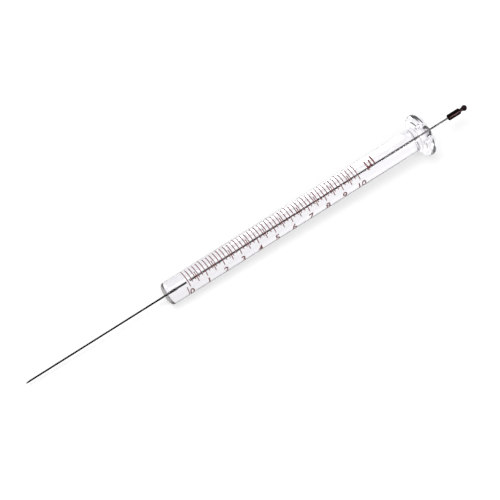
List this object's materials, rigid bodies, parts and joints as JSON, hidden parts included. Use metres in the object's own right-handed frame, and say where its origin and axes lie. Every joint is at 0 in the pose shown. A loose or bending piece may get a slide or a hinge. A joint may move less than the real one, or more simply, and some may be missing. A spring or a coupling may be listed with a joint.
{
  "type": "microsyringe",
  "caption": "Glass microsyringe with a cemented hollow needle, a graduated thick-walled barrel, a round finger flange and a sliding wire plunger with a ball-ended button.",
  "frame": {"origin": "on the axis of the bore at the zero line of the scale, where the needle ends inside the barrel", "axes": "+X along the bore towards the plunger's button, +Z towards the side that carries the scale"},
  "size_m": [0.1404, 0.0122, 0.0122],
  "materials": {
    "barrel_glass": "clear polished borosilicate glass",
    "needle_steel": "drawn stainless tube, dark",
    "cement": "dark glossy adhesive",
    "wire_steel": "drawn and ground wire",
    "button_steel": "turned and polished, dark",
    "scale_ink": "fired reddish brown enamel"
  },
  "bodies": {
    "barrel_body": {"barrel": "barrel_glass", "needle": "needle_steel", "needle_cement": "cement", "unit_graduations": "scale_ink", "division_graduations": "scale_ink", "half_unit_graduations": "scale_ink", "zero_mark": "scale_ink"},
    "plunger": {"plunger_wire": "wire_steel", "plunger_button": "button_steel"}
  },
  "joints": [
    {"name": "plunger_slide", "type": "slide", "parent": "barrel_body", "child": "plunger", "axis": [1, 0, 0], "range_m": [-0.00098, 0.0531]}
  ]
}
